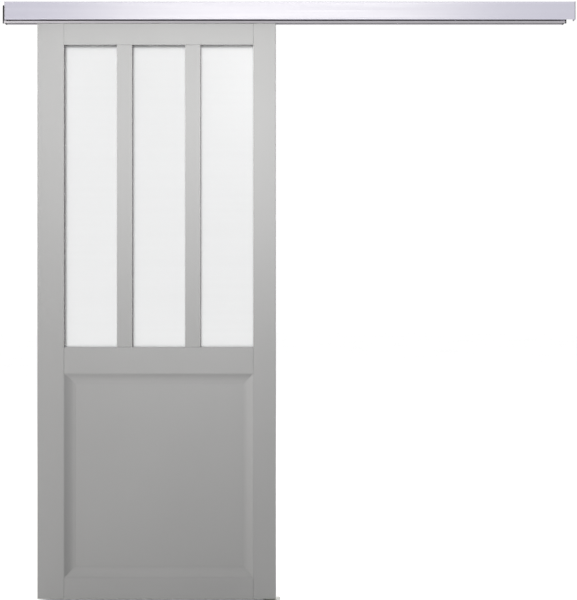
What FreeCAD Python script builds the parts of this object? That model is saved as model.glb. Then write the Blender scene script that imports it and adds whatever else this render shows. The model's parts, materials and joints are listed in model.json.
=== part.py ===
import FreeCAD, Part
import math
import os
import re
import Sketcher
from FreeCAD import Placement, Rotation, Vector

# A half-glazed sliding leaf that hangs from a wall rail behind an aluminium fascia.
# Millimetres. X runs along the rail from the middle of the fascia, Y points into the
# wall from the wall's face, so the room is at -Y, and Z is up from the wall screws.
# The leaf is drawn at the left end of its travel, against the left buffer.

DIMENSIONS = {
    # fascia and its fittings
    "fascia_length": 2005,
    "fascia_reach": 74,
    "fascia_rise": 16,
    "fascia_sheet": 2,
    "fascia_radius": 1.5,
    "fascia_rib": 2,
    "fascia_cap": 3,
    "cap_gap": 1,
    "tongue_sheet": 1.8,
    "bracket_length": 40,
    "bracket_low": 36,
    "bracket_high": 20,
    "bracket_sheet": 3,
    "bracket_spacing": 450,
    "bracket_screw_drop": 28,
    "bracket_screw_radius": 2,
    "bracket_screw_head": 3.75,
    "bracket_screw_head_high": 2,
    # track: a wall flange with a channel in front of it
    "rail_drop": 47,
    "track_left": 1013,
    "track_right": 975,
    "flange_rise": 13,
    "flange_drop": 30,
    "flange_sheet": 3,
    "channel_reach": 32,
    "channel_width": 38,
    "channel_top": 13,
    "channel_wall": 2.5,
    "lip_sheet": 3,
    "drip_gap": 0.5,
    "drip_reach": 7.5,
    "drip_sheet": 1.5,
    "drip_slant": 3.5,
    "drip_lip": 6.7,
    "slot_width": 10,
    "wall_screw_spacing": 380,
    "wall_screw_hole": 5.5,
    "track_cap": 6,
    "track_cap_round": 8,
    "track_cap_skirt": 2,
    "plug_length": 12,
    # end stops
    "stop_length": 30,
    "stop_width": 32,
    "stop_height": 20,
    "buffer_length": 7.7,
    "buffer_stem": 3,
    "buffer_radius": 7,
    "buffer_gap": 0.3,
    "grub_radius": 3,
    "grub_offset": 8,
    "travel": 810,
    # floor guide
    "floor_gap": 10,
    "guide_middle": 65,
    "guide_length": 60,
    "guide_width": 40,
    "guide_sheet": 4,
    "guide_corner": 5,
    "guide_screw_spacing": 44,
    "guide_screw_hole": 4.5,
    "fin_length": 30,
    "fin_width": 8,
    "fin_entry": 12,
    "fin_chamfer": 1.5,
    "fin_screw_offset": 8,
    "fin_screw_radius": 1.5,
    "fin_screw_length": 12,
    "fin_screw_head": 3,
    "fin_screw_head_high": 1.8,
    # leaf frame
    "leaf_left": 896,
    "leaf_width": 846,
    "leaf_height": 2042,
    "leaf_sheet": 40,
    "leaf_gap": 6,
    "left_stile": 95,
    "right_stile": 80,
    "bar_width": 55,
    "top_rail": 77,
    "bottom_rail": 75,
    "middle_rail_low": 798,
    "middle_rail_high": 893,
    "edge_chamfer": 1,
    "dowel_radius": 5,
    "dowel_length": 80,
    "bar_dowel_length": 60,
    "top_dowel_drop": 31,
    "top_dowel_pitch": 24,
    "middle_dowel_inset": 34,
    "bottom_dowel_rise": 29,
    "bottom_dowel_pitch": 18,
    "guide_groove": 10,
    "guide_groove_deep": 16,
    # glazing and lower panel
    "reveal": 2.5,
    "rebate": 10,
    "gasket_sheet": 1,
    "glass_sheet": 4,
    "glass_play": 2,
    "panel_sheet": 10,
    "panel_groove": 10,
    "panel_play": 2,
    "moulding_width": 36,
    "moulding_high": 14.5,
    "moulding_low": 0.6,
    "moulding_round": 3,
    "moulding_round_drop": 1.4,
    "gasket_width": 9,
    "bead_bevel": 3,
    # carriages and hangers
    "carriage_inset": 105,
    "carriage_length": 80,
    "carriage_width": 12,
    "carriage_high": 24,
    "carriage_low": 42,
    "carriage_corner": 4,
    "axle_spacing": 50,
    "axle_radius": 2.5,
    "axle_head": 3.5,
    "axle_head_high": 0.8,
    "axle_head_gap": 0.3,
    "wheel_radius": 11,
    "wheel_width": 8,
    "wheel_offset": 10.5,
    "wheel_play": 0.05,
    "wheel_hub": 5,
    "wheel_rim": 9,
    "wheel_dish": 1,
    "wheel_bevel": 0.5,
    "wheel_edge": 0.8,
    "plate_length": 80,
    "plate_width": 28,
    "plate_sheet": 3,
    "bolt_radius": 4,
    "bolt_top": 27,
    "bolt_head_high": 5,
    "hexagon_radius": 7.5,
    "nut_high": 4,
    "head_bore_radius": 11,
    "head_bore_deep": 12,
    "plate_screw_radius": 1.75,
    "plate_screw_length": 25,
    "plate_screw_head": 3.75,
    "plate_screw_head_high": 2,
    "plate_screw_x": 32,
    "plate_screw_y": 8,
}

# Places worked out from the dimensions, in the sheet's own words.
PLACES = {
    "channel_front": "-channel_reach - channel_width / 2",
    "channel_back": "-channel_reach + channel_width / 2",
    "lip_top": "-rail_drop + lip_sheet",
    "drip_top": "-rail_drop - drip_gap",
    "drip_edge": "-rail_drop - drip_lip",
    "drip_front": "channel_front - drip_reach",
    "channel_roof": "-channel_top - channel_wall",
    "wheel_height": "lip_top + wheel_radius + wheel_play",
    "axle_half": "wheel_offset + wheel_width / 2 + axle_head_gap",
    "leaf_right": "-leaf_left + leaf_width",
    "leaf_top": "-rail_drop - leaf_gap",
    "leaf_bottom": "leaf_top - leaf_height",
    "leaf_front": "-channel_reach - leaf_sheet / 2",
    "leaf_back": "-channel_reach + leaf_sheet / 2",
    "frame_left": "-leaf_left + left_stile",
    "frame_right": "leaf_right - right_stile",
    "top_rail_edge": "leaf_top - top_rail",
    "middle_rail_top": "leaf_bottom + middle_rail_high",
    "middle_rail_edge": "leaf_bottom + middle_rail_low",
    "bottom_rail_edge": "leaf_bottom + bottom_rail",
    "pane_width": "(leaf_width - left_stile - right_stile - 2 * bar_width) / 3",
    "rebate_front": "leaf_front + reveal",
    "glass_front": "rebate_front + gasket_sheet",
    "glass_back": "glass_front + glass_sheet",
    "panel_front": "-channel_reach - panel_sheet / 2",
    "panel_back": "-channel_reach + panel_sheet / 2",
    "left_carriage": "-leaf_left + carriage_inset",
    "right_carriage": "leaf_right - carriage_inset",
    "plate_bottom": "leaf_top - plate_sheet",
    "left_buffer": "left_carriage - carriage_length / 2 - buffer_gap",
    "right_buffer": "right_carriage + carriage_length / 2 + travel + buffer_gap",
    "floor": "leaf_bottom - floor_gap",
    "guide_top": "floor + guide_sheet",
}

doc = FreeCAD.newDocument("SlidingDoorSet")
sheet = doc.addObject("Spreadsheet::Sheet", "Dims")
pieces = []


def fill_sheet():
    """Write every driving dimension to the sheet, with its alias."""
    for row, (alias, value) in enumerate(DIMENSIONS.items(), start=1):
        sheet.set(f"A{row}", alias)
        sheet.set(f"B{row}", str(value))
        sheet.setAlias(f"B{row}", alias)
    doc.recompute()


def bound(text):
    """Turn words into an expression on the sheet, with each named place written out."""

    def expand(match):
        word = match.group()
        return f"({bound(PLACES[word])})" if word in PLACES else f"Dims.{word}"

    return re.sub(r"[a-z][a-z_]+", expand, str(text))


def size(alias):
    """A driving dimension as a number, for shapes that are built point by point."""
    return float(sheet.get(alias))


def keep(label, piece):
    """Name a finished sub-part; its label is also its file's name."""
    piece.Label = label
    pieces.append(piece)
    return piece


def place(obj, x, y, z, direction=None):
    """Bind an object's position, after turning its Z axis to a direction."""
    if direction:
        obj.Placement = Placement(Vector(), Rotation(Vector(0, 0, 1), Vector(*direction)))
    for axis, text in zip("xyz", (x, y, z)):
        obj.setExpression(f"Placement.Base.{axis}", bound(text))
    return obj


# Part primitives ---------------------------------------------------------------------


def block(name, low, high):
    """Box between two corners."""
    box = doc.addObject("Part::Box", name)
    for side, start, end in zip(("Length", "Width", "Height"), low, high):
        box.setExpression(side, bound(f"({end}) - ({start})"))
    return place(box, *low)


def rod(name, start, direction, radius, length):
    """Cylinder from the middle of one end, along a direction."""
    cylinder = doc.addObject("Part::Cylinder", name)
    cylinder.setExpression("Radius", bound(radius))
    cylinder.setExpression("Height", bound(length))
    return place(cylinder, *start, direction)


def hexagon(name, start, radius, length):
    """Upright six-sided prism."""
    prism = doc.addObject("Part::Prism", name)
    prism.Polygon = 6
    prism.setExpression("Circumradius", bound(radius))
    prism.setExpression("Height", bound(length))
    return place(prism, *start)


def cone(name, start, direction, radius, end_radius, length):
    """Cone or truncated cone from the middle of one end."""
    taper = doc.addObject("Part::Cone", name)
    taper.setExpression("Radius1", bound(radius))
    taper.setExpression("Radius2", bound(end_radius))
    taper.setExpression("Height", bound(length))
    return place(taper, *start, direction)


def fused(name, shapes):
    """Several primitives as one solid."""
    fuse = doc.addObject("Part::MultiFuse", name)
    fuse.Shapes = shapes
    fuse.Refine = True
    return fuse


def countersunk_screw(start, direction, radius, length, head_radius, head_high):
    """Flat-headed screw from the middle of its head, along a direction."""
    head = cone("ScrewHead", start, direction, head_radius, radius, head_high)
    return fused("Screw", [head, rod("ScrewShank", start, direction, radius, length)])


def group(name, links):
    """Separate solids carried by one object."""
    compound = doc.addObject("Part::Compound", name)
    compound.Links = links
    return compound


def cut(name, base, tool):
    """One object with another's solids taken out of it."""
    difference = doc.addObject("Part::Cut", name)
    difference.Base = base
    difference.Tool = tool
    return difference


# PartDesign bodies -------------------------------------------------------------------


def origin_item(body, role):
    """A body's own origin plane or axis."""
    return next(item for item in body.Origin.OriginFeatures if item.Role == role)


def bind_distance(sketch, direction, index, corner, text):
    """Hold a point at a distance from the sketch's origin."""
    number = sketch.addConstraint(Sketcher.Constraint(direction, -1, 1, index, corner, 1.0))
    name = f"{direction}_{index}"
    sketch.renameConstraint(number, name)
    sketch.setExpression(f"Constraints.{name}", bound(text))


def blank_sketch(body, plane):
    """Empty sketch on one of the body's origin planes."""
    sketch = body.newObject("Sketcher::SketchObject", "Sketch")
    sketch.AttachmentSupport = (origin_item(body, plane), [""])
    sketch.MapMode = "FlatFace"
    return sketch


def outline(body, plane, points):
    """Sketch of one closed outline through points given in words."""
    sketch = blank_sketch(body, plane)
    count = len(points)
    angles = [2 * math.pi * i / count for i in range(count)]
    corners = [Vector(math.cos(angle), math.sin(angle), 0) for angle in angles]
    for i in range(count):
        sketch.addGeometry(Part.LineSegment(corners[i], corners[(i + 1) % count]), False)
    for i in range(count):
        sketch.addConstraint(Sketcher.Constraint("Coincident", i, 2, (i + 1) % count, 1))
    for i, (across, up) in enumerate(points):
        bind_distance(sketch, "DistanceX", i, 1, across)
        bind_distance(sketch, "DistanceY", i, 1, up)
    return sketch


def rectangle(low, high):
    """The four corners between two opposite ones."""
    return [low, (high[0], low[1]), high, (low[0], high[1])]


def holes(body, plane, centres, diameter):
    """Sketch of equal circles."""
    sketch = blank_sketch(body, plane)
    for i, (across, up) in enumerate(centres):
        sketch.addGeometry(Part.Circle(Vector(i, i, 0), Vector(0, 0, 1), 1), False)
        bind_distance(sketch, "DistanceX", i, 3, across)
        bind_distance(sketch, "DistanceY", i, 3, up)
        number = sketch.addConstraint(Sketcher.Constraint("Diameter", i, 1.0))
        sketch.renameConstraint(number, f"Diameter_{i}")
        sketch.setExpression(f"Constraints.Diameter_{i}", bound(diameter))
    return sketch


def padded(name, plane, points, length, base=("0", "0", "0")):
    """Body padded from an outline along the plane's normal, and placed."""
    body = doc.addObject("PartDesign::Body", name)
    profile = outline(body, plane, points)
    pad = body.newObject("PartDesign::Pad", "Pad")
    pad.Profile = profile
    pad.setExpression("Length", bound(length))
    place(body, *base)
    return body


def pocket_through(body, sketch, reverse):
    """Pocket a sketch through the whole body, and insist that it took material away."""
    doc.recompute()
    before = body.Shape.Volume
    pocket = body.newObject("PartDesign::Pocket", "Pocket")
    pocket.Profile = sketch
    pocket.Type = "ThroughAll"
    pocket.Reversed = reverse
    doc.recompute()
    if not body.Shape.Volume < before:
        raise RuntimeError(f"{body.Name}: the pocket cuts nothing")
    return pocket


def dress(body, kind, amount, chosen):
    """Fillet or chamfer the edges that a test picks out."""
    doc.recompute()
    tip = body.Tip
    edges = [f"Edge{i}" for i, edge in enumerate(tip.Shape.Edges, start=1) if chosen(edge)]
    feature = body.newObject(f"PartDesign::{kind}", kind)
    feature.Base = (tip, edges)
    feature.setExpression("Radius" if kind == "Fillet" else "Size", bound(amount))
    doc.recompute()
    return feature


def flat_at(edge, axis, level):
    """True where an edge lies in the plane at one level of an axis."""
    box = edge.BoundBox
    low = getattr(box, f"{axis}Min")
    high = getattr(box, f"{axis}Max")
    return abs(low - level) < 1e-6 and abs(high - level) < 1e-6


def soften_faces(body, amount, axis):
    """Chamfer all edges of a body's two faces across an axis."""
    doc.recompute()
    box = body.Tip.Shape.BoundBox
    ends = (getattr(box, f"{axis}Min"), getattr(box, f"{axis}Max"))
    dress(body, "Chamfer", amount, lambda edge: any(flat_at(edge, axis, end) for end in ends))


# Shapes built point by point ---------------------------------------------------------


def mitred_strips(left, right, low, high, face, profile):
    """Four mitred strips round the inside of an upright rectangle.

    The profile's points are (in from the rectangle's edge, forward of the plane at
    the face), so that each strip runs from one 45 degree cut to the next.
    """
    corners = [(left, low, 1, 1), (right, low, -1, 1), (right, high, -1, -1), (left, high, 1, -1)]

    def section(corner):
        x, z, inward_x, inward_z = corner
        points = [Vector(x + u * inward_x, face - w, z + u * inward_z) for u, w in profile]
        return Part.makePolygon(points + points[:1])

    sections = [section(corner) for corner in corners]
    return [Part.makeLoft([sections[i - 1], sections[i]], True, True) for i in range(4)]


def strips_piece(label, strips):
    """Sub-part made of a list of solids."""
    piece = doc.addObject("Part::Feature", label)
    piece.Shape = Part.makeCompound(strips)
    piece.Placement = Placement()
    return keep(label, piece)


# Rail --------------------------------------------------------------------------------


def make_track(bracket_screws):
    """Extruded track: wall flange, channel, two running lips and a slanted drip lip in front."""
    profile = [
        ("0", "flange_rise"),
        ("-flange_sheet", "flange_rise"),
        ("-flange_sheet", "-channel_top"),
        ("channel_front", "-channel_top"),
        ("channel_front", "drip_top"),
        ("drip_front", "drip_top"),
        ("drip_front + drip_slant", "drip_edge"),
        ("drip_front + drip_slant + drip_sheet", "drip_edge"),
        ("drip_front + 1.6 * drip_sheet", "drip_top - drip_sheet"),
        ("channel_front + channel_wall", "drip_top - drip_sheet"),
        ("channel_front + channel_wall", "-rail_drop"),
        ("-channel_reach - slot_width / 2", "-rail_drop"),
        ("-channel_reach - slot_width / 2", "lip_top"),
        ("channel_front + channel_wall", "lip_top"),
        ("channel_front + channel_wall", "channel_roof"),
        ("channel_back - channel_wall", "channel_roof"),
        ("channel_back - channel_wall", "lip_top"),
        ("-channel_reach + slot_width / 2", "lip_top"),
        ("-channel_reach + slot_width / 2", "-rail_drop"),
        ("channel_back", "-rail_drop"),
        ("channel_back", "channel_roof"),
        ("-flange_sheet", "channel_roof"),
        ("-flange_sheet", "-flange_drop"),
        ("0", "-flange_drop"),
    ]
    body = padded("track_bar", "YZ_Plane", profile, "track_left + track_right", ("-track_left", "0", "0"))
    first_hole = [("track_left - 2.5 * wall_screw_spacing", "0")]
    hole = pocket_through(body, holes(body, "XZ_Plane", first_hole, "wall_screw_hole"), True)
    row = body.newObject("PartDesign::LinearPattern", "ScrewRow")
    row.Originals = [hole]
    row.Direction = (origin_item(body, "X_Axis"), [""])
    row.Occurrences = 6
    row.setExpression("Length", bound("5 * wall_screw_spacing"))
    body.Tip = row
    keep("track", cut("track_cut", body, bracket_screws))


def make_fascia():
    """Folded cover with a top return and two ribs that clip over the brackets."""
    front = "-fascia_reach"
    inner = "-fascia_reach + fascia_sheet"
    rib = "-fascia_reach + fascia_sheet + fascia_rib"
    profile = [
        (front, "-rail_drop"),
        (inner, "-rail_drop"),
        (inner, "-bracket_low - fascia_rib"),
        (rib, "-bracket_low - fascia_rib"),
        (rib, "-bracket_low"),
        (inner, "-bracket_low"),
        (inner, "-bracket_high"),
        (rib, "-bracket_high"),
        (rib, "-bracket_high + fascia_rib"),
        (inner, "-bracket_high + fascia_rib"),
        (inner, "fascia_rise - fascia_sheet"),
        ("0", "fascia_rise - fascia_sheet"),
        ("0", "fascia_rise"),
        (front, "fascia_rise"),
    ]
    body = padded("fascia_shell", "YZ_Plane", profile, "fascia_length", ("-fascia_length / 2", "0", "0"))
    front_face = -size("fascia_reach")

    def long_front(edge):
        return flat_at(edge, "Y", front_face) and edge.Length > 100

    dress(body, "Fillet", "fascia_radius", long_front)
    keep("fascia", body)


def make_fascia_brackets():
    """Five channel brackets between the fascia and the track, each with two screws."""
    brackets = []
    screws = []
    for i in range(-2, 3):
        middle = f"{i} * bracket_spacing"
        left = f"{middle} - bracket_length / 2"
        right = f"{middle} + bracket_length / 2"
        outer = block(
            "BracketOuter",
            (left, "-fascia_reach + fascia_sheet", "-bracket_low"),
            (right, "channel_front", "-bracket_high"),
        )
        inner = block(
            "BracketInner",
            (left, "-fascia_reach + fascia_sheet + bracket_sheet", "-bracket_low"),
            (right, "channel_front - bracket_sheet", "-bracket_high - bracket_sheet"),
        )
        brackets.append(cut("Bracket", outer, inner))
        for side in (-1, 1):
            start = (
                f"{middle} + {side} * bracket_length / 4",
                "channel_front - bracket_sheet",
                "-bracket_screw_drop",
            )
            grip = "bracket_sheet + channel_wall"
            head = rod("ScrewHead", start, (0, -1, 0), "bracket_screw_head", "bracket_screw_head_high")
            shank = rod("ScrewShank", start, (0, 1, 0), "bracket_screw_radius", grip)
            screws.append(fused("BracketScrew", [head, shank]))
    all_screws = keep("fascia_bracket_screws", group("BracketScrews", screws))
    keep("fascia_brackets", cut("BoredBrackets", group("Brackets", brackets), all_screws))
    return all_screws


def end_block(end, side, length, near, far):
    """Box from one end of the rail to one side of it, between two (Y, Z) corners."""
    stretch = [end, f"{end} + {side} * {length}"]
    start, stop = stretch if side > 0 else stretch[::-1]
    return block("EndBlock", (start, *near), (stop, *far))


def track_cover(label, start):
    """Plate over an end of the track, with a skirt in front and its upper front corner rounded."""
    profile = [
        ("0", "flange_rise"),
        ("channel_front", "flange_rise"),
        ("channel_front", "drip_edge"),
        ("channel_front + track_cap_skirt", "drip_edge"),
        ("channel_front + track_cap_skirt", "-rail_drop"),
        ("channel_back", "-rail_drop"),
        ("channel_back", "-flange_drop"),
        ("0", "-flange_drop"),
    ]
    body = padded(f"track_cover_{label}", "YZ_Plane", profile, "track_cap", (start, "0", "0"))
    front = -size("channel_reach") - size("channel_width") / 2
    top = size("flange_rise")

    def upper_front(edge):
        return flat_at(edge, "Y", front) and flat_at(edge, "Z", top)

    dress(body, "Fillet", "track_cap_round", upper_front)
    return body


def make_end_caps():
    """Caps on the fascia's front cavity and on the track, at both ends."""
    cavity = ("-fascia_reach + fascia_sheet", "-bracket_high + fascia_rib")
    cavity_top = ("-fascia_reach + fascia_sheet + tongue_sheet", "fascia_rise - fascia_sheet")
    bore = ("channel_front + channel_wall", "lip_top")
    bore_top = ("channel_back - channel_wall", "channel_roof")
    covers = {"left": "-track_left - track_cap", "right": "track_right"}
    for label, side in (("left", -1), ("right", 1)):
        end = f"{side} * fascia_length / 2"
        plate_top = ("channel_front - cap_gap", "fascia_rise")
        plate = end_block(end, side, "fascia_cap", ("-fascia_reach", "-rail_drop"), plate_top)
        tongue = end_block(end, -side, "plug_length", cavity, cavity_top)
        keep(f"fascia_end_cap_{label}", fused("FasciaCap", [plate, tongue]))
        plug = end_block(f"{side} * track_{label}", -side, "plug_length", bore, bore_top)
        keep(f"track_end_cap_{label}", fused("TrackCap", [track_cover(label, covers[label]), plug]))


def make_end_stops():
    """Stop blocks held by two grub screws, each with a rubber buffer."""
    for label, face, side in (("left", "left_buffer", -1), ("right", "right_buffer", 1)):
        near = f"{face} + {side} * buffer_length"
        far = f"{near} + {side} * stop_length"
        start, end = (near, far) if side > 0 else (far, near)
        body = block(
            "StopBlock",
            (start, "-channel_reach - stop_width / 2", "lip_top"),
            (end, "-channel_reach + stop_width / 2", "lip_top + stop_height"),
        )
        middle = f"{near} + {side} * stop_length / 2"
        screws = group(
            "Grubs",
            [
                rod(
                    "Grub",
                    (f"{middle} + {offset} * grub_offset", "-channel_reach", "lip_top"),
                    (0, 0, 1),
                    "grub_radius",
                    "channel_roof - lip_top",
                )
                for offset in (-1, 1)
            ],
        )
        keep(f"stop_grub_screws_{label}", screws)
        buffer = rod(
            "Buffer",
            (face, "-channel_reach", "wheel_height"),
            (side, 0, 0),
            "buffer_radius",
            "buffer_length + buffer_stem",
        )
        keep(f"stop_buffer_{label}", buffer)
        keep(f"end_stop_{label}", cut("StopBored", body, group("StopFittings", [screws, buffer])))


def make_floor_guide():
    """Base plate with two screw holes, and a fin that runs in the leaf's groove."""
    middle = ("-guide_middle", "-channel_reach")
    base = padded(
        "guide_plate",
        "XY_Plane",
        rectangle(("-guide_length / 2", "-guide_width / 2"), ("guide_length / 2", "guide_width / 2")),
        "guide_sheet",
        (*middle, "floor"),
    )
    dress(base, "Fillet", "guide_corner", lambda edge: edge.BoundBox.ZLength > 1)
    centres = [(f"{side} * guide_screw_spacing / 2", "0") for side in (-1, 1)]
    pocket_through(base, holes(base, "XY_Plane", centres, "guide_screw_hole"), True)
    fin = padded(
        "guide_blade",
        "XY_Plane",
        rectangle(("-fin_length / 2", "-fin_width / 2"), ("fin_length / 2", "fin_width / 2")),
        "leaf_bottom + fin_entry - guide_top",
        (*middle, "guide_top"),
    )
    doc.recompute()
    fin_top = fin.Tip.Shape.BoundBox.ZMax
    dress(fin, "Chamfer", "fin_chamfer", lambda edge: flat_at(edge, "Z", fin_top))
    screws = []
    for side in (-1, 1):
        start = (f"-guide_middle + {side} * fin_screw_offset", "-channel_reach", "floor")
        shank = ("fin_screw_radius", "fin_screw_length")
        head = ("fin_screw_head", "fin_screw_head_high")
        screws.append(countersunk_screw(start, (0, 0, 1), *shank, *head))
    fin_screws = keep("floor_guide_fin_screws", group("FinScrews", screws))
    keep("floor_guide_base", cut("GuidePlateBored", base, fin_screws))
    keep("floor_guide_fin", cut("GuideBladeBored", fin, fin_screws))


# Leaf --------------------------------------------------------------------------------


def pane_left(index):
    """Left edge of one of the three glass openings, counted from the left."""
    return f"frame_left + {index} * (pane_width + bar_width)"


def make_rebates():
    """The three recesses behind the openings that take glass and beads."""
    return [
        block(
            "GlassRebate",
            (f"{pane_left(i)} - rebate", "rebate_front", "middle_rail_top - rebate"),
            (f"{pane_left(i)} + pane_width + rebate", "leaf_back", "top_rail_edge + rebate"),
        )
        for i in range(3)
    ]


def make_dowels():
    """Beech dowels: two in each rail's end, one in each end of each glazing bar."""
    heights = [
        "leaf_top - top_dowel_drop",
        "leaf_top - top_dowel_drop - top_dowel_pitch",
        "middle_rail_top - middle_dowel_inset",
        "middle_rail_edge + middle_dowel_inset",
        "leaf_bottom + bottom_dowel_rise",
        "leaf_bottom + bottom_dowel_rise + bottom_dowel_pitch",
    ]
    dowels = []
    for joint in ("frame_left", "frame_right"):
        for level in heights:
            start = (f"{joint} - dowel_length / 2", "-channel_reach", level)
            dowels.append(rod("Dowel", start, (1, 0, 0), "dowel_radius", "dowel_length"))
    for i in range(2):
        middle = f"{pane_left(i)} + pane_width + bar_width / 2"
        for level in ("top_rail_edge", "middle_rail_top"):
            start = (middle, "-channel_reach", f"{level} - bar_dowel_length / 2")
            dowels.append(rod("BarDowel", start, (0, 0, 1), "dowel_radius", "bar_dowel_length"))
    return keep("frame_dowels", group("Dowels", dowels))


def make_joinery(rebates, dowels, hangers):
    """Everything that is cut out of the leaf's wooden members."""
    panel_groove = block(
        "PanelGroove",
        ("frame_left - panel_groove", "panel_front", "bottom_rail_edge - panel_groove"),
        ("frame_right + panel_groove", "panel_back", "middle_rail_edge + panel_groove"),
    )
    guide_groove = block(
        "GuideGroove",
        ("-leaf_left", "-channel_reach - guide_groove / 2", "leaf_bottom"),
        ("leaf_right", "-channel_reach + guide_groove / 2", "leaf_bottom + guide_groove_deep"),
    )
    recesses = []
    for middle in ("left_carriage", "right_carriage"):
        recesses.append(
            block(
                "PlateRecess",
                (f"{middle} - plate_length / 2", "-channel_reach - plate_width / 2", "plate_bottom"),
                (f"{middle} + plate_length / 2", "-channel_reach + plate_width / 2", "leaf_top"),
            )
        )
        start = (middle, "-channel_reach", "plate_bottom")
        recesses.append(rod("HeadBore", start, (0, 0, -1), "head_bore_radius", "head_bore_deep"))
    return fused("Joinery", [*rebates, dowels, panel_groove, guide_groove, *recesses, *hangers])


def make_frame(joinery):
    """Two full-height stiles, three rails between them and two glazing bars."""
    bars = [f"{pane_left(i)} + pane_width" for i in range(2)]
    members = {
        "left_stile": (("-leaf_left", "leaf_bottom"), ("frame_left", "leaf_top")),
        "right_stile": (("frame_right", "leaf_bottom"), ("leaf_right", "leaf_top")),
        "top_rail": (("frame_left", "top_rail_edge"), ("frame_right", "leaf_top")),
        "middle_rail": (("frame_left", "middle_rail_edge"), ("frame_right", "middle_rail_top")),
        "bottom_rail": (("frame_left", "leaf_bottom"), ("frame_right", "bottom_rail_edge")),
        "left_glazing_bar": ((bars[0], "middle_rail_top"), (f"{bars[0]} + bar_width", "top_rail_edge")),
        "right_glazing_bar": ((bars[1], "middle_rail_top"), (f"{bars[1]} + bar_width", "top_rail_edge")),
    }
    for label, (low, high) in members.items():
        corners = rectangle(low, high)
        blank = padded(f"{label}_blank", "XZ_Plane", corners, "leaf_sheet", ("0", "leaf_back", "0"))
        soften_faces(blank, "edge_chamfer", "Y")
        keep(label, cut(f"{label}_jointed", blank, joinery))


def make_glazing(rebates):
    """Frosted panes with a gasket on each face and mitred beads behind them."""
    wide = size("rebate")
    bevel = size("bead_bevel")
    thick = size("gasket_sheet")
    rubber = [(0, 0), (size("gasket_width"), 0), (size("gasket_width"), thick), (0, thick)]
    gasket_strips = []
    for i, label in enumerate(("left", "middle", "right")):
        edge = "rebate - glass_play"
        pane_corner = (f"{pane_left(i)} - ({edge})", f"middle_rail_top - ({edge})")
        far_corner = (f"{pane_left(i)} + pane_width + {edge}", f"top_rail_edge + {edge}")
        glass = padded(
            f"{label}_pane",
            "XZ_Plane",
            rectangle(pane_corner, far_corner),
            "glass_sheet",
            ("0", "glass_back", "0"),
        )
        keep(f"{label}_glass", glass)
        doc.recompute()
        hole = rebates[i].Shape.BoundBox
        rim = (hole.XMin, hole.XMax, hole.ZMin, hole.ZMax)
        pane = glass.Shape.BoundBox
        gasket_strips += mitred_strips(*rim, pane.YMin, rubber)
        gasket_strips += mitred_strips(*rim, pane.YMax + thick, rubber)
        depth = hole.YMax - pane.YMax - thick
        bead = [(0, 0), (wide - bevel, 0), (wide, bevel), (wide, depth), (0, depth)]
        strips_piece(f"{label}_rear_beads", mitred_strips(*rim, hole.YMax, bead))
    strips_piece("glazing_gaskets", gasket_strips)


def make_lower_panel():
    """Solid panel in the frame's groove, with coved mouldings on both faces."""
    panel = padded(
        "lower_panel_board",
        "XZ_Plane",
        rectangle(
            ("frame_left - panel_groove + panel_play", "bottom_rail_edge - panel_groove + panel_play"),
            ("frame_right + panel_groove - panel_play", "middle_rail_edge + panel_groove - panel_play"),
        ),
        "panel_sheet",
        ("0", "panel_back", "0"),
    )
    keep("lower_panel", panel)
    doc.recompute()
    board = panel.Shape.BoundBox
    inset = size("panel_groove") - size("panel_play")
    rim = (board.XMin + inset, board.XMax - inset, board.ZMin + inset, board.ZMax - inset)
    cove = cove_profile()
    strips_piece("front_panel_moulding", mitred_strips(*rim, board.YMin, cove))
    behind = [(across, -height) for across, height in cove]
    strips_piece("rear_panel_moulding", mitred_strips(*rim, board.YMax, behind))


def cove_profile():
    """Moulding section: a rounded shoulder at the frame, hollowed down to a thin inner edge."""
    width, high, low = size("moulding_width"), size("moulding_high"), size("moulding_low")
    across, drop = size("moulding_round"), size("moulding_round_drop")
    shoulder = []
    for step in range(4):
        part = step / 4
        shoulder.append((across * part, high - drop * part**2))
    hollow = []
    for step in range(10):
        part = 1 - step / 9
        hollow.append((width - (width - across) * part, low + (high - drop - low) * part**2))
    return [(0, 0), *shoulder, *hollow, (width, 0)]


# Hangers and carriages ---------------------------------------------------------------


def make_plate_screws(middle):
    """Four countersunk screws through a hanger plate."""
    screws = []
    for side_x in (-1, 1):
        for side_y in (-1, 1):
            start = (
                f"{middle} + {side_x} * plate_screw_x",
                f"-channel_reach + {side_y} * plate_screw_y",
                "leaf_top",
            )
            shank = ("plate_screw_radius", "plate_screw_length")
            head = ("plate_screw_head", "plate_screw_head_high")
            screws.append(countersunk_screw(start, (0, 0, -1), *shank, *head))
    return group("PlateScrews", screws)


def make_hanger(label, middle):
    """Hanger plate, its screws, the hanging bolt and the lock nut on the plate."""
    screws = keep(f"hanger_plate_screws_{label}", make_plate_screws(middle))
    centre = (middle, "-channel_reach")
    foot = (*centre, "plate_bottom")
    shank = rod("BoltShank", foot, (0, 0, 1), "bolt_radius", "-bolt_top - plate_bottom")
    head_bottom = (*centre, "plate_bottom - bolt_head_high")
    head = hexagon("BoltHead", head_bottom, "hexagon_radius", "bolt_head_high")
    bolt = keep(f"hanging_bolt_{label}", fused("HangingBolt", [shank, head]))
    plate = padded(
        f"hanger_sheet_{label}",
        "XY_Plane",
        rectangle(("-plate_length / 2", "-plate_width / 2"), ("plate_length / 2", "plate_width / 2")),
        "plate_sheet",
        foot,
    )
    keep(f"hanger_plate_{label}", cut("PlateBored", plate, group("PlateFittings", [screws, bolt])))
    nut = hexagon("Nut", (*centre, "leaf_top"), "hexagon_radius", "nut_high")
    keep(f"lock_nut_{label}", cut("NutBored", nut, bolt))
    return screws, bolt


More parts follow.
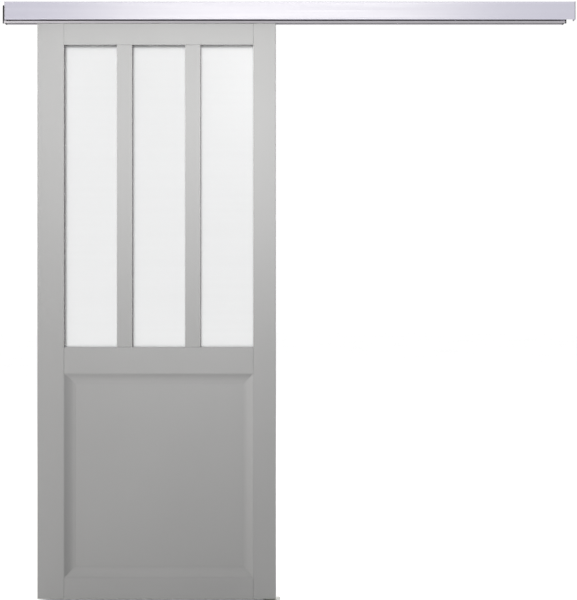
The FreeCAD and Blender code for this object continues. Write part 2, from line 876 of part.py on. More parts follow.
def make_carriage(label, middle, bolt):
    """Carriage block with two headed axles through it, on the hanging bolt."""
    axles = []
    for side in (-1, 1):
        axle_x = f"{middle} + {side} * axle_spacing / 2"
        start = (axle_x, "-channel_reach - axle_half", "wheel_height")
        parts = [rod("AxleShaft", start, (0, 1, 0), "axle_radius", "2 * axle_half")]
        for direction in (-1, 1):
            end = (axle_x, f"-channel_reach + {direction} * axle_half", "wheel_height")
            parts.append(rod("AxleHead", end, (0, direction, 0), "axle_head", "axle_head_high"))
        axles.append(fused("Axle", parts))
    axle_pair = keep(f"axles_{label}", group("Axles", axles))
    half = "carriage_length / 2"
    corner = f"{half} - carriage_corner"
    profile = [
        (f"-{half}", "-carriage_low + carriage_corner"),
        (f"-({corner})", "-carriage_low"),
        (corner, "-carriage_low"),
        (half, "-carriage_low + carriage_corner"),
        (half, "-carriage_high - carriage_corner"),
        (corner, "-carriage_high"),
        (f"-({corner})", "-carriage_high"),
        (f"-{half}", "-carriage_high - carriage_corner"),
    ]
    body = padded(
        f"carriage_block_{label}",
        "XZ_Plane",
        profile,
        "carriage_width",
        (middle, "-channel_reach + carriage_width / 2", "0"),
    )
    keep(f"carriage_{label}", cut("CarriageBored", body, group("CarriageFittings", [axle_pair, bolt])))


def make_wheel(label, middle, end, face):
    """Nylon wheel with dished sides, turned about the Y axis of its axle."""
    half = "wheel_width / 2"
    dish = "wheel_width / 2 - wheel_dish"
    tread = "wheel_width / 2 - wheel_edge"
    right_side = [
        (tread, "wheel_radius"),
        (half, "wheel_radius - wheel_edge"),
        (half, "wheel_rim"),
        (dish, "wheel_rim - wheel_bevel"),
        (dish, "wheel_hub + wheel_bevel"),
        (half, "wheel_hub"),
        (half, "axle_radius + wheel_play"),
    ]
    left_side = [(f"-({across})", up) for across, up in reversed(right_side)]
    profile = left_side + right_side
    body = doc.addObject("PartDesign::Body", label)
    turned = body.newObject("PartDesign::Revolution", "Revolution")
    turned.Profile = outline(body, "YZ_Plane", profile)
    turned.ReferenceAxis = (origin_item(body, "Y_Axis"), [""])
    turned.Angle = 360
    axle_x = f"{middle} + {end} * axle_spacing / 2"
    place(body, axle_x, f"-channel_reach + {face} * wheel_offset", "wheel_height")
    keep(label, body)


def make_wheels(label, middle):
    """Four wheels of one carriage: one on each end of each axle."""
    for end_name, end in (("left", -1), ("right", 1)):
        for face_name, face in (("front", -1), ("rear", 1)):
            make_wheel(f"wheel_{label}_carriage_{end_name}_{face_name}", middle, end, face)


# Build and write ---------------------------------------------------------------------


def build_model():
    """Make every sub-part in the order in which they depend on each other."""
    make_fascia()
    make_track(make_fascia_brackets())
    make_end_caps()
    make_end_stops()
    make_floor_guide()
    plate_screws = []
    for label, middle in (("left", "left_carriage"), ("right", "right_carriage")):
        screws, bolt = make_hanger(label, middle)
        plate_screws.append(screws)
        make_carriage(label, middle, bolt)
        make_wheels(label, middle)
    rebates = make_rebates()
    make_frame(make_joinery(rebates, make_dowels(), plate_screws))
    make_glazing(rebates)
    make_lower_panel()
    doc.recompute()


def check_model():
    """Stop at any object that failed, and at any sub-part with a bad shape."""
    for item in doc.Objects:
        if "Invalid" in item.State or "Error" in item.State:
            raise RuntimeError(f"{item.Label} did not recompute: {item.State}")
    for piece in pieces:
        if piece.Shape.isNull() or not piece.Shape.isValid() or not piece.Shape.Solids:
            raise RuntimeError(f"{piece.Label} has no valid shape")


def write_model():
    """Write one STEP file for each sub-part."""
    os.makedirs("parts", exist_ok=True)
    for piece in pieces:
        piece.Shape.exportStep(os.path.join("parts", f"{piece.Label}.step"))
    print(f"{len(pieces)} sub-parts written")


fill_sheet()
build_model()
check_model()
write_model()
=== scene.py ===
import json
import math

import bmesh
import bpy
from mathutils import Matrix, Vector


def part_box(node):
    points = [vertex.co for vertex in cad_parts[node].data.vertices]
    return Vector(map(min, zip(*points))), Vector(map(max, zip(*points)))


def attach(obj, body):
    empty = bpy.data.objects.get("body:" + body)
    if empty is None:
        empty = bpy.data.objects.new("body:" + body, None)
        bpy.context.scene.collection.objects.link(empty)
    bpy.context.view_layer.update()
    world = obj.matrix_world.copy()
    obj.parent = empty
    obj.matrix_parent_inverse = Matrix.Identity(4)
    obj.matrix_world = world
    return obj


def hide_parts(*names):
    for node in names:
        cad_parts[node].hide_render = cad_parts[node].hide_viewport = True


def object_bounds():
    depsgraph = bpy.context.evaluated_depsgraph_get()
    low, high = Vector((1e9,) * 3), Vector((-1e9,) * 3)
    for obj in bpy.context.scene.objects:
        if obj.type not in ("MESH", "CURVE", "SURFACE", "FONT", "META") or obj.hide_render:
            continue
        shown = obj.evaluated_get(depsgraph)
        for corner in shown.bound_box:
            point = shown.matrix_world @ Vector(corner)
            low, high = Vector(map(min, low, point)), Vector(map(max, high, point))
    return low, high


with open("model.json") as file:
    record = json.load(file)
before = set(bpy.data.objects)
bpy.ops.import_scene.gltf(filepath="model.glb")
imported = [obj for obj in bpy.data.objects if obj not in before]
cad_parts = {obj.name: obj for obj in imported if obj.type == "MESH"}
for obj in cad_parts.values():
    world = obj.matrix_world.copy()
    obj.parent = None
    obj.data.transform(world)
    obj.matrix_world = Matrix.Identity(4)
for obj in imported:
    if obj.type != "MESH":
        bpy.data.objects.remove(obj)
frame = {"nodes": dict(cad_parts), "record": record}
nodes = frame["nodes"]
cad_low, cad_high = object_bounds()

# A top-hung sliding leaf on a wall rail, in metres: X along the rail, the room at -Y,
# Z up from the rail's wall screws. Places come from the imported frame.

LEAF_LOW, LEAF_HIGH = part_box("left_stile")
FASCIA_LOW, FASCIA_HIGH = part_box("fascia")
FLOOR_HEIGHT = cad_low.z


# Camera ------------------------------------------------------------------------------

VIEW_DISTANCE = 3.0       # from the leaf's front face
VIEW_HEIGHT = 1.06        # above the leaf's bottom edge
VIEW_SHIFT = -0.005       # left of the fascia's middle
FIELD_HEIGHT = 2.1276     # height of the picture at the leaf's front face
SENSOR = 36.0


def make_camera():
    data = bpy.data.cameras.new("camera")
    data.sensor_width = SENSOR
    data.lens = SENSOR * VIEW_DISTANCE / FIELD_HEIGHT
    camera = bpy.data.objects.new("camera", data)
    camera.location = (VIEW_SHIFT, LEAF_LOW.y - VIEW_DISTANCE, LEAF_LOW.z + VIEW_HEIGHT)
    camera.rotation_euler = (math.radians(90), 0, 0)
    bpy.context.scene.collection.objects.link(camera)
    bpy.context.scene.camera = camera


# Node helpers ------------------------------------------------------------------------


class Graph:
    """A material's node tree, with the Principled shader and the object's coordinates."""

    def __init__(self, name):
        self.material = bpy.data.materials.new(name)
        self.material.use_nodes = True
        self.nodes = self.material.node_tree.nodes
        self.links = self.material.node_tree.links
        self.shader = self.nodes["Principled BSDF"]
        self.place = self.add("ShaderNodeTexCoord").outputs["Object"]

    def add(self, kind, **settings):
        node = self.nodes.new(kind)
        for key, value in settings.items():
            setattr(node, key, value)
        return node

    def link(self, output, node, socket):
        self.links.new(output, node.inputs[socket])

    def uniform(self, **values):
        """Set the shader's own sockets, for what is the same all over."""
        for name, value in values.items():
            self.shader.inputs[name.replace("_", " ")].default_value = value

    def noise(self, stretch, scale=1.0, detail=4.0, rough=0.5):
        """Noise over the object's coordinates, with its own scale along each axis."""
        mapping = self.add("ShaderNodeMapping")
        mapping.inputs["Scale"].default_value = stretch
        self.link(self.place, mapping, "Vector")
        texture = self.add("ShaderNodeTexNoise")
        texture.inputs["Scale"].default_value = scale
        texture.inputs["Detail"].default_value = detail
        texture.inputs["Roughness"].default_value = rough
        self.link(mapping.outputs["Vector"], texture, "Vector")
        return texture.outputs["Fac"]

    def ramp(self, value, low, high, start=0.3, end=0.7):
        """Map a noise value to a range of numbers."""
        node = self.add("ShaderNodeMapRange")
        for socket, number in zip(("From Min", "From Max", "To Min", "To Max"), (start, end, low, high)):
            node.inputs[socket].default_value = number
        self.link(value, node, "Value")
        return node.outputs["Result"]

    def tint(self, value, low, high, start=0.3, end=0.7):
        """Colour between two tones, chosen by a noise value."""
        node = self.add("ShaderNodeMix", data_type="RGBA")
        self.link(self.ramp(value, 0.0, 1.0, start, end), node, "Factor")
        node.inputs[6].default_value = (*low, 1)
        node.inputs[7].default_value = (*high, 1)
        return node.outputs[2]

    def inside(self, spans):
        """One inside a box given as (axis, low, high) spans of the object's coordinates, else zero."""
        axes = self.add("ShaderNodeSeparateXYZ")
        self.link(self.place, axes, "Vector")
        value = None
        for axis, low, high in spans:
            within = self.add("ShaderNodeMath", operation="COMPARE")
            self.link(axes.outputs[axis], within, 0)
            within.inputs[1].default_value = (low + high) / 2
            within.inputs[2].default_value = (high - low) / 2
            if value is None:
                value = within.outputs[0]
            else:
                both = self.add("ShaderNodeMath", operation="MULTIPLY")
                self.link(value, both, 0)
                self.link(within.outputs[0], both, 1)
                value = both.outputs[0]
        return value

    def over(self, colour, mask, tone):
        """Cover a colour with one tone where a mask is one."""
        node = self.add("ShaderNodeMix", data_type="RGBA")
        self.link(mask, node, "Factor")
        self.link(colour, node, 6)
        node.inputs[7].default_value = (*tone, 1)
        return node.outputs[2]

    def bump(self, height, distance, strength=1.0, below=None):
        """Bump from a height value, on top of an earlier bump."""
        node = self.add("ShaderNodeBump")
        node.inputs["Strength"].default_value = strength
        node.inputs["Distance"].default_value = distance
        self.link(height, node, "Height")
        if below is not None:
            self.link(below, node, "Normal")
        return node.outputs["Normal"]

    def finish(self, colour=None, rough=None, normal=None):
        """Join the worked-out values to the shader."""
        for output, socket in ((colour, "Base Color"), (rough, "Roughness"), (normal, "Normal")):
            if output is not None:
                self.link(output, self.shader, socket)
        return self.material


# Materials ---------------------------------------------------------------------------


def lacquer(name, stretch):
    """Grey satin lacquer over wood: a faint grain, a slight orange peel."""
    graph = Graph(name)
    grain = graph.noise(stretch, detail=5)
    cloud = graph.noise((3, 3, 2), detail=2)
    peel = graph.noise((420, 420, 420), detail=2)
    graph.uniform(Metallic=0.0, Specular_IOR_Level=0.4, Coat_Weight=0.08, Coat_Roughness=0.35)
    colour = graph.tint(cloud, (0.169, 0.169, 0.169), (0.174, 0.174, 0.174))
    normal = graph.bump(grain, 0.00012)
    return graph.finish(colour, graph.ramp(grain, 0.42, 0.5), graph.bump(peel, 0.00004, below=normal))


def aluminium(name, dark, light, painted_shade_spans=()):
    """Satin anodised aluminium, drawn along its length, with painted shade: near-black colour inside a
    channel, where shadow falls.
    """
    graph = Graph(name)
    lines = graph.noise((1.5, 900, 900), detail=6)
    broad = graph.noise((0.8, 40, 40), detail=3)
    graph.uniform(Metallic=1.0)
    colour = graph.tint(broad, dark, light)
    if painted_shade_spans:
        # Painted shade: the channel's inside is coloured near-black to stand in for its shadow.
        colour = graph.over(colour, graph.inside(painted_shade_spans), (0.05, 0.047, 0.045))
    return graph.finish(colour, graph.ramp(lines, 0.28, 0.42), graph.bump(lines, 0.00002))


def frosted_glass():
    """Etched glass with faint level streaks and a subdued sheen."""
    graph = Graph("frosted_glass")
    streaks = graph.noise((1.2, 1, 55), detail=3)
    frost = graph.noise((900, 900, 900), detail=2)
    graph.uniform(Metallic=0.0, IOR=1.5, Transmission_Weight=1.0)
    graph.uniform(Specular_Tint=(0.2, 0.2, 0.2, 1))
    colour = graph.tint(streaks, (0.8, 0.803, 0.805), (0.818, 0.821, 0.823))
    return graph.finish(colour, graph.ramp(streaks, 0.36, 0.38), graph.bump(frost, 0.00001))


def plastic(name, dark, light, rough, specular=0.5):
    """Moulded plastic with a fine spark-eroded texture."""
    graph = Graph(name)
    grain = graph.noise((1400, 1400, 1400), detail=3)
    graph.uniform(Metallic=0.0, Specular_IOR_Level=specular)
    return graph.finish(
        graph.tint(grain, dark, light),
        graph.ramp(grain, rough, rough + 0.12),
        graph.bump(grain, 0.00005),
    )


def zinc():
    """Bright zinc plate with a soft, cloudy passivation."""
    graph = Graph("zinc_steel")
    cloud = graph.noise((60, 60, 60), detail=4)
    graph.uniform(Metallic=1.0)
    colour = graph.tint(cloud, (0.55, 0.56, 0.55), (0.68, 0.68, 0.63))
    return graph.finish(colour, graph.ramp(cloud, 0.22, 0.38), graph.bump(cloud, 0.00003))


def beech():
    """Bare beech with its grain and short flecks."""
    graph = Graph("beech")
    grain = graph.noise((30, 400, 400), detail=5)
    graph.uniform(Metallic=0.0)
    colour = graph.tint(grain, (0.36, 0.22, 0.12), (0.48, 0.33, 0.20))
    return graph.finish(colour, graph.ramp(grain, 0.5, 0.65), graph.bump(grain, 0.0001))


def rubber():
    """Matt black rubber."""
    graph = Graph("black_rubber")
    grain = graph.noise((700, 700, 700), detail=3)
    graph.uniform(Metallic=0.0, Specular_IOR_Level=0.3)
    return graph.finish(
        graph.tint(grain, (0.016, 0.016, 0.016), (0.03, 0.03, 0.03)),
        graph.ramp(grain, 0.75, 0.9),
        graph.bump(grain, 0.00006),
    )


# Scale of the wood grain along X, Y and Z for upright and level members.
UPRIGHT = (260, 260, 6)
LEVEL = (6, 260, 260)
# The track's channel, inside its walls and down through its slot, where the track is painted near-black as
# painted shade.
SHADED_CHANNEL = (("Y", -0.0487, -0.0153), ("Z", -0.0465, -0.0154))


def make_finishes():
    """One material for each of the record's slots, a darker copy of the aluminium for the track as painted
    shade, and one for level wood.
    """
    return {
        "anodised_aluminium": aluminium("fascia_aluminium", (0.54, 0.53, 0.61), (0.575, 0.565, 0.645)),
        # Painted shade: the track's aluminium is a darker copy of the fascia's, for the shade it lies in
        # under the fascia.
        "shaded_track_aluminium": aluminium("shaded_track_aluminium", (0.37, 0.355, 0.38), (0.4, 0.385, 0.41), SHADED_CHANNEL),
        "frosted_glass": frosted_glass(),
        "black_plastic": plastic(
            "black_plastic", (0.006, 0.006, 0.0065), (0.012, 0.012, 0.0125), 0.5, specular=0.3
        ),
        "grey_plastic": plastic("grey_plastic", (0.165, 0.163, 0.185), (0.185, 0.183, 0.205), 0.4),
        "zinc_steel": zinc(),
        "white_nylon": plastic("white_nylon", (0.56, 0.55, 0.51), (0.62, 0.61, 0.57), 0.3),
        "black_rubber": rubber(),
        "white_tape": plastic("white_tape", (0.70, 0.70, 0.69), (0.76, 0.76, 0.75), 0.7, specular=0.3),
        "beech": beech(),
        "painted_wood": lacquer("painted_wood_upright", UPRIGHT),
        "painted_wood_level": lacquer("painted_wood_level", LEVEL),
    }


# Nodes whose finish is a variant of their slot's.
SPECIAL_FINISHES = {
    "track": "shaded_track_aluminium",
    "top_rail": "painted_wood_level",
    "middle_rail": "painted_wood_level",
    "bottom_rail": "painted_wood_level",
}


def assign_materials(finishes):
    """Give every node its slot's material, with the grain along each wooden member."""
    for part in frame["record"]["subparts"]:
        finish = SPECIAL_FINISHES.get(part["node"], part["material_slot"])
        mesh = nodes[part["node"]].data
        mesh.materials.clear()
        mesh.materials.append(finishes[finish])


# Detail pieces -----------------------------------------------------------------------

THREAD_DEEP = 0.61        # depth of a metric thread, of its pitch
HOLE_CHAMFER = 0.0004


class Piece:
    """Shapes gathered into one mesh, and then put on a body."""

    def __init__(self, name, material):
        self.name = name
        self.material = material
        self.mesh = bmesh.new()

    def aim(self, place, direction):
        """Set where the next shapes stand, and which way their own Z points."""
        self.place = Vector(place)
        self.turn = Vector(direction).to_track_quat("Z", "Y").to_matrix()

    def point(self, x, y, z):
        return self.mesh.verts.new(self.place + self.turn @ Vector((x, y, z)))

    def skin(self, rings, closed=True):
        """Faces between rings of points, where a ring of one point is a pole."""
        for first, second in zip(rings, rings[1:]):
            count = max(len(first), len(second))
            for i in range(count if closed else count - 1):
                near = [first[k % len(first)] for k in (i, i + 1)]
                far = [second[k % len(second)] for k in (i + 1, i)]
                corners = list(dict.fromkeys(near + far))
                if len(corners) > 2:
                    self.mesh.faces.new(corners)

    def ring(self, radii, heights):
        """Points round the axis, with a radius and a height for each step of angle."""
        step = 2 * math.pi / len(radii)
        spots = zip(range(len(radii)), radii, heights)
        return [self.point(r * math.cos(step * i), r * math.sin(step * i), z) for i, r, z in spots]

    def circle(self, radius, height, steps):
        count = steps if radius else 1
        return self.ring([radius] * count, [height] * count)

    def turned(self, profile, steps=40):
        """Surface of revolution through (height, radius) pairs."""
        self.skin([self.circle(radius, height, steps) for height, radius in profile])

    def hexagon(self, low, high, across, bore=0.0, steps=72):
        """Six-sided body with both its ends turned to a shallow cone."""
        flat = 0.475 * across
        side = [across / 2 / math.cos(math.radians(i * 360 / steps % 60 - 30)) for i in range(steps)]
        drop = [(radius - flat) * math.tan(math.radians(30)) for radius in side]
        mouth = bore + HOLE_CHAMFER if bore else 0.0
        rings = [
            self.circle(mouth, low, steps),
            self.circle(flat, low, steps),
            self.ring(side, [low + fall for fall in drop]),
            self.ring(side, [high - fall for fall in drop]),
            self.circle(flat, high, steps),
            self.circle(mouth, high, steps),
        ]
        if bore:
            rings.append(self.circle(bore, high - HOLE_CHAMFER, steps))
            rings.append(self.circle(bore, low + HOLE_CHAMFER, steps))
            rings.append(rings[0])
        self.skin(rings)

    def thread(self, low, high, radius, pitch, steps=24):
        """Screw thread between two heights, faded out at both ends."""
        depth = THREAD_DEEP * pitch
        columns = []
        for i in range(steps + 1):
            angle = 2 * math.pi * i / steps
            column = []
            for k in range(-4, int((high - low) / pitch * 4) + 5):
                height = low + (k + 4 * i / steps) * pitch / 4
                level = min(max(height, low), high)
                reach = radius if k % 4 < 2 and level == height else radius - depth
                column.append(self.point(reach * math.cos(angle), reach * math.sin(angle), level))
            columns.append(column)
        self.skin(columns, closed=False)

    def recess(self, radius, height, outline, depth):
        """Flat head face round a recess with drafted walls and a floor."""
        rim = self.circle(radius, height, 40)
        mouth = [self.point(x, y, height) for x, y in outline]
        floor = [self.point(0.75 * x, 0.75 * y, height + depth) for x, y in outline]
        pairs = [(loop[i - 1], loop[i]) for loop in (rim, mouth) for i in range(len(loop))]
        edges = [self.mesh.edges.new(pair) for pair in pairs]
        bmesh.ops.triangle_fill(self.mesh, edges=edges, use_beauty=True)
        self.skin([mouth, floor])
        self.mesh.faces.new(floor)

    def spokes(self, count, inner, outer, half_wide, low, high):
        """Radial ribs with rounded tops, standing between two heights."""
        crest = high - 0.3 * (high - low)
        section = ((-half_wide, low), (-half_wide, crest), (0, high), (half_wide, crest), (half_wide, low))
        for i in range(count):
            angle = 2 * math.pi * i / count
            ends = []
            for reach in (inner, outer):
                ends.append([
                    self.point(
                        reach * math.cos(angle) - across * math.sin(angle),
                        reach * math.sin(angle) + across * math.cos(angle),
                        height,
                    )
                    for across, height in section
                ])
            self.skin(ends)

    def finish(self, body, slot, *replaced):
        """Make the object, shade it, and put it on its body."""
        bmesh.ops.remove_doubles(self.mesh, verts=self.mesh.verts, dist=1e-6)
        bmesh.ops.dissolve_degenerate(self.mesh, edges=self.mesh.edges, dist=1e-7)
        bmesh.ops.recalc_face_normals(self.mesh, faces=self.mesh.faces)
        data = bpy.data.meshes.new(self.name)
        self.mesh.to_mesh(data)
        self.mesh.free()
        data.shade_smooth()
        data.set_sharp_from_angle(angle=math.radians(35))
        data.materials.append(self.material)
        piece = bpy.data.objects.new(self.name, data)
        bpy.context.scene.collection.objects.link(piece)
        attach(piece, body)
        if replaced:
            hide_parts(*replaced)


def cross(radius):
    """Outline of a cross recess for a head of this radius."""
    arm, half = 0.6 * radius, 0.15 * radius
    quarter = [(arm, -half), (arm, half), (half, half)]
    outline = []
    for _ in range(4):
        outline += quarter
        quarter = [(-y, x) for x, y in quarter]
    return outline


def socket(across):
    """Outline of a hexagon socket."""
    reach = across / 2 / math.cos(math.radians(30))
    angles = [math.radians(60 * i) for i in range(6)]
    return [(reach * math.cos(angle), reach * math.sin(angle)) for angle in angles]


def countersunk(piece, length, radius=0.00175, head=0.00375, pitch=0.0011):
    """Cross-head wood screw along the piece's own Z, with its flat head at 0."""
    piece.recess(0.95 * head, 0, cross(head), 0.0014)
    piece.turned([(0, 0.95 * head), (0.0002, head), (0.002, radius), (0.004, 0.61 * radius)])
    piece.thread(0.004, length - 0.0015, radius, pitch)
    piece.turned([(length - 0.0015, radius - THREAD_DEEP * pitch), (length, 0)])


# Places inside the CAD nodes, in metres from a hanger's, stop's or bracket's middle, and
# the sizes of standard fasteners.
PLATE_SCREW_OFFSETS = [(x, y) for x in (-0.032, 0.032) for y in (-0.008, 0.008)]
FIN_SCREW_OFFSET = 0.008
GRUB_OFFSET = 0.008
BRACKET_SPACING = 0.45
BRACKET_SCREW_OFFSET = 0.01
HEXAGON_ACROSS = 0.01299
BOLT_HEAD = 0.005
BOLT_RADIUS = 0.004
BOLT_PITCH = 0.00125
GRUB_PITCH = 0.001
BRACKET_SCREW_RADIUS = 0.002
BRACKET_SCREW_PITCH = 0.0007
PIN_INSET = 0.005         # from a bead's outer edge to its pins
PIN_END = 0.04            # from a bead's end to its first pin
PIN_ROWS = 6
PIN_LENGTH = 0.004


def node_middle(node):
    low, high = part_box(node)
    return (low + high) / 2, low, high


def make_wheel(node, nylon, steel):
    """Ribbed nylon tyre on a shielded ball bearing."""
    middle, low, high = node_middle(node)
    radius = (high.z - low.z) / 2
    half = (high.y - low.y) / 2
    side = [
        (0.0037, 0.0052), (0.0037, 0.0062), (0.0029, 0.0064), (0.0029, 0.0088), (0.0037, 0.0091),
        (half, 0.0095), (half, 0.0101), (0.9 * half, radius - 0.0004), (0.7 * half, radius - 0.0001),
    ]
    tyre = Piece(node + "_tyre", nylon)
    tyre.aim(middle, (0, 1, 0))
    mirrored = [(-across, reach) for across, reach in side]
    tyre.turned(side + [(0, radius)] + mirrored[::-1] + side[:1], steps=64)
    for face in (1, -1):
        tyre.aim(middle, (0, face, 0))
        tyre.spokes(6, 0.0060, 0.0092, 0.0006, 0.0027, 0.0036)
    tyre.finish(node, "white_nylon", node)
    bearing = Piece(node + "_bearing", steel)
    bearing.aim(middle, (0, 1, 0))
    side = [
        (0.0034, 0.00515), (0.0036, 0.0050), (0.0036, 0.0044), (0.0031, 0.0043),
        (0.0031, 0.0034), (0.0036, 0.0033), (0.0036, 0.00255),
    ]
    mirrored = [(-across, reach) for across, reach in side]
    bearing.turned(side + mirrored[::-1] + side[:1])
    bearing.finish(node, "zinc_steel")


def make_axles(label, steel):
    """Two axles with riveted, domed ends."""
    node = "axles_" + label
    low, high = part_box(node)
    length = high.y - low.y
    dome = [(0, 0), (0.0001, 0.0014), (0.0003, 0.0026), (0.0006, 0.0033), (0.0008, 0.0035), (0.0008, 0.0025)]
    far_dome = [(length - height, radius) for height, radius in dome[::-1]]
    piece = Piece(node + "_riveted", steel)
    for end in ("left", "right"):
        middle = node_middle(f"wheel_{label}_carriage_{end}_front")[0]
        piece.aim((middle.x, low.y, middle.z), (0, 1, 0))
        piece.turned(dome + far_dome)
    piece.finish("leaf", "zinc_steel", node)


def make_hanger(label, steel):
    """Threaded hanging bolt, its chamfered lock nut and the plate's screws."""
    node = "hanging_bolt_" + label
    middle, low, high = node_middle(node)
    bolt = Piece(node + "_threaded", steel)
    bolt.aim((middle.x, middle.y, 0), (0, 0, 1))
    bolt.hexagon(low.z, low.z + BOLT_HEAD, HEXAGON_ACROSS)
    bolt.thread(low.z + BOLT_HEAD, high.z, BOLT_RADIUS, BOLT_PITCH)
    bolt.turned([(high.z, BOLT_RADIUS - THREAD_DEEP * BOLT_PITCH), (high.z, 0)], steps=24)
    bolt.finish("leaf", "zinc_steel", node)
    node = "lock_nut_" + label
    low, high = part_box(node)
    nut = Piece(node + "_chamfered", steel)
    nut.aim((middle.x, middle.y, 0), (0, 0, 1))
    nut.hexagon(low.z, high.z, HEXAGON_ACROSS, bore=BOLT_RADIUS)
    nut.finish("leaf", "zinc_steel", node)
    node = "hanger_plate_screws_" + label
    low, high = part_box(node)
    screws = Piece(node + "_cross_head", steel)
    for x, y in PLATE_SCREW_OFFSETS:
        screws.aim((middle.x + x, middle.y + y, high.z), (0, 0, -1))
        countersunk(screws, high.z - low.z)
    screws.finish("leaf", "zinc_steel", node)


def make_stop(label, side, steel, rubber_black):
    """Ribbed rubber buffer and two socket grub screws of an end stop."""
    node = "stop_buffer_" + label
    middle, low, high = node_middle(node)
    radius = (high.z - low.z) / 2
    length = high.x - low.x
    face = low.x if side > 0 else high.x
    buffer = Piece(node + "_domed", rubber_black)
    buffer.aim((face, middle.y, middle.z), (side, 0, 0))
    nose = [(0, 0), (0.0001, 0.0028), (0.0006, 0.0048), (0.0016, 0.0062), (0.0030, 0.0067)]
    grooves = [(0.0040, 0.0062), (0.0046, radius), (0.0056, radius), (0.0060, 0.0062), (0.0066, radius)]
    buffer.turned(nose + grooves + [(length, radius), (length, 0)])
    buffer.finish("rail", "black_rubber", node)
    node = "stop_grub_screws_" + label
    middle, low, high = node_middle(node)
    radius = (high.y - low.y) / 2
    grubs = Piece(node + "_socket", steel)
    for offset in (-GRUB_OFFSET, GRUB_OFFSET):
        grubs.aim((middle.x + offset, middle.y, low.z), (0, 0, 1))
        grubs.recess(0.8 * radius, 0, socket(0.003), 0.0025)
        grubs.turned([(0, 0.8 * radius), (0.0006, radius - 0.0006)])
        length = high.z - low.z
        grubs.thread(0.0006, length, radius, GRUB_PITCH)
        grubs.turned([(length, radius - THREAD_DEEP * GRUB_PITCH), (length, 0)])
    grubs.finish("rail", "zinc_steel", node)


def make_bracket_screws(steel):
    """Pan-head screws that hold the fascia's brackets to the track."""
    node = "fascia_bracket_screws"
    middle, low, high = node_middle(node)
    radius = (high.z - low.z) / 2
    length = high.y - low.y
    core = BRACKET_SCREW_RADIUS - THREAD_DEEP * BRACKET_SCREW_PITCH
    screws = Piece(node + "_pan_head", steel)
    for i in range(-2, 3):
        for offset in (-BRACKET_SCREW_OFFSET, BRACKET_SCREW_OFFSET):
            screws.aim((i * BRACKET_SPACING + offset, low.y, middle.z), (0, 1, 0))
            screws.recess(0.7 * radius, 0, cross(0.8 * radius), 0.0012)
            head = [(0, 0.7 * radius), (0.0003, 0.88 * radius), (0.0009, 0.98 * radius), (0.0018, radius)]
            screws.turned(head + [(0.002, radius), (0.002, 0.0016)])
            screws.thread(0.002, length - 0.0004, BRACKET_SCREW_RADIUS, BRACKET_SCREW_PITCH)
            screws.turned([(length - 0.0004, core), (length, 0)])
    screws.finish("rail", "zinc_steel", node)


def make_fin_screws(steel):
    """Two countersunk screws up through the floor guide's plate."""
    node = "floor_guide_fin_screws"
    middle, low, high = node_middle(node)
    screws = Piece(node + "_cross_head", steel)
    for offset in (-FIN_SCREW_OFFSET, FIN_SCREW_OFFSET):
        screws.aim((middle.x + offset, middle.y, low.z), (0, 0, 1))
        countersunk(screws, high.z - low.z, 0.0015, 0.003, 0.0009)
    screws.finish("rail", "zinc_steel", node)


def make_bead_pins(steel):
    """Heads of the pins that hold the rear glazing beads."""
    pins = Piece("rear_bead_pins", steel)
    profile = [(0.0001, 0), (0.0001, 0.0006), (0, 0.0008), (-PIN_LENGTH, 0.0007), (-PIN_LENGTH, 0)]
    for name in ("left", "middle", "right"):
        low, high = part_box(name + "_rear_beads")
        first, last = low.z + PIN_END, high.z - PIN_END
        rows = [first + (last - first) * i / (PIN_ROWS - 1) for i in range(PIN_ROWS)]
        spots = [(x, z) for x in (low.x + PIN_INSET, high.x - PIN_INSET) for z in rows]
        spots += [((low.x + high.x) / 2, z) for z in (low.z + PIN_INSET, high.z - PIN_INSET)]
        for x, z in spots:
            pins.aim((x, high.y, z), (0, 1, 0))
            pins.turned(profile, steps=16)
    pins.finish("leaf", "zinc_steel")


# Bevel width of each CAD node's own hard edges, in metres. The extrusions keep their own.
ARRIS = {
    "frosted_glass": 0.0003,
    "black_plastic": 0.0004,
    "grey_plastic": 0.0004,
    "zinc_steel": 0.0004,
    "white_nylon": 0.0004,
    "black_rubber": 0.0003,
    "white_tape": 0.0002,
    "beech": 0.0005,
    "painted_wood": 0.0005,
}


def soften_nodes():
    """Round every CAD node's hard edges a little, as its material would be."""
    for part in frame["record"]["subparts"]:
        if part["material_slot"] not in ARRIS:
            continue
        node = nodes[part["node"]]
        node.modifiers.new("weld", "WELD").merge_threshold = 1e-5
        flat = node.modifiers.new("flat", "DECIMATE")
        flat.decimate_type = "DISSOLVE"
        flat.angle_limit = math.radians(0.5)
        bevel = node.modifiers.new("arris", "BEVEL")
        bevel.width = ARRIS[part["material_slot"]]
        bevel.segments = 2
        bevel.limit_method = "ANGLE"
        bevel.angle_limit = math.radians(40)
        bevel.harden_normals = True


def make_details(finishes):
    """All the turned and threaded pieces that stand for plain CAD ones."""
    steel = finishes["zinc_steel"]
    for node in frame["nodes"]:
        if node.startswith("wheel_"):
            make_wheel(node, finishes["white_nylon"], steel)
    for label, side in (("left", -1), ("right", 1)):
        make_axles(label, steel)
        make_hanger(label, steel)
        make_stop(label, side, steel, finishes["black_rubber"])
    make_bracket_screws(steel)
    make_fin_screws(steel)
    make_bead_pins(steel)


# Stage -------------------------------------------------------------------------------


WORLD_STRENGTH = 1.045
FLOOR_RADIUS = 25


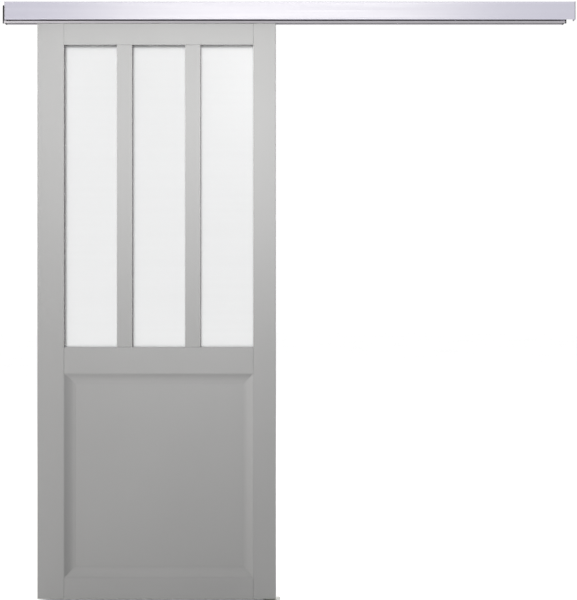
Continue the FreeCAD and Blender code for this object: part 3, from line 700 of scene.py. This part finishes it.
def make_stage():
    """Pale floor under a white surround."""
    world = bpy.data.worlds.new("surround")
    world.use_nodes = True
    world.node_tree.nodes["Background"].inputs["Color"].default_value = (1, 1, 1, 1)
    world.node_tree.nodes["Background"].inputs["Strength"].default_value = WORLD_STRENGTH
    bpy.context.scene.world = world
    bpy.ops.mesh.primitive_circle_add(
        vertices=64, radius=FLOOR_RADIUS, fill_type="NGON", location=(0, 0, FLOOR_HEIGHT)
    )
    floor = bpy.context.object
    floor.name = "floor"
    graph = Graph("floor_paint")
    graph.uniform(Roughness=0.9, Specular_IOR_Level=0.1)
    colour = graph.tint(graph.noise((1, 1, 1)), (0.95, 0.95, 0.95), (0.97, 0.97, 0.97))
    floor.data.materials.append(graph.finish(colour))


def make_light(name, place, aim, size, power, spread=180, colour=(1, 1, 1), hidden=("glossy",)):
    """Soft rectangular light that faces a point, unseen by some kinds of ray."""
    data = bpy.data.lights.new(name, "AREA")
    data.shape = "RECTANGLE"
    data.size, data.size_y = size
    data.energy = power
    data.spread = math.radians(spread)
    data.color = colour
    light = bpy.data.objects.new(name, data)
    light.location = place
    light.rotation_euler = (Vector(aim) - Vector(place)).to_track_quat("-Z", "Y").to_euler()
    for ray in hidden:
        setattr(light, "visible_" + ray, False)
    bpy.context.scene.collection.objects.link(light)


def make_lights():
    """A wide strip mirrored in the fascia, and side lights that fade down the leaf."""
    strip_colour = (1.0, 0.99, 0.8)
    make_light("strip", (-0.08, -2.4, 0.72), (-0.1, 0, 0), (2.1, 0.4), 5.6, colour=strip_colour, hidden=())
    make_light("upper", (0.1, -2.2, 0.4), (-0.1, 0, -0.55), (0.6, 0.5), 8.5, spread=60)
    make_light("upper_left", (-2.2, -2.2, 0.5), (-0.5, 0, -0.25), (0.6, 0.6), 5.5, spread=45)
    make_light("left", (-4.0, -2.0, -1.0), (-0.5, 0, -1.0), (1.2, 1.2), 150, colour=(1.0, 0.985, 0.96))
    unseen = ("glossy", "camera", "transmission")
    make_light("rear", (-0.3, 3.0, 0.6), (-0.4, 0, -1.0), (2.0, 1.2), 40, hidden=unseen)


def show_plainly():
    """Display colours as they are, with no film curve."""
    view = bpy.context.scene.view_settings
    view.view_transform = "Standard"
    view.look = "None"
    view.exposure = 0
    view.gamma = 1


make_camera()
finishes = make_finishes()
assign_materials(finishes)
soften_nodes()
make_details(finishes)
make_stage()
make_lights()
show_plainly()
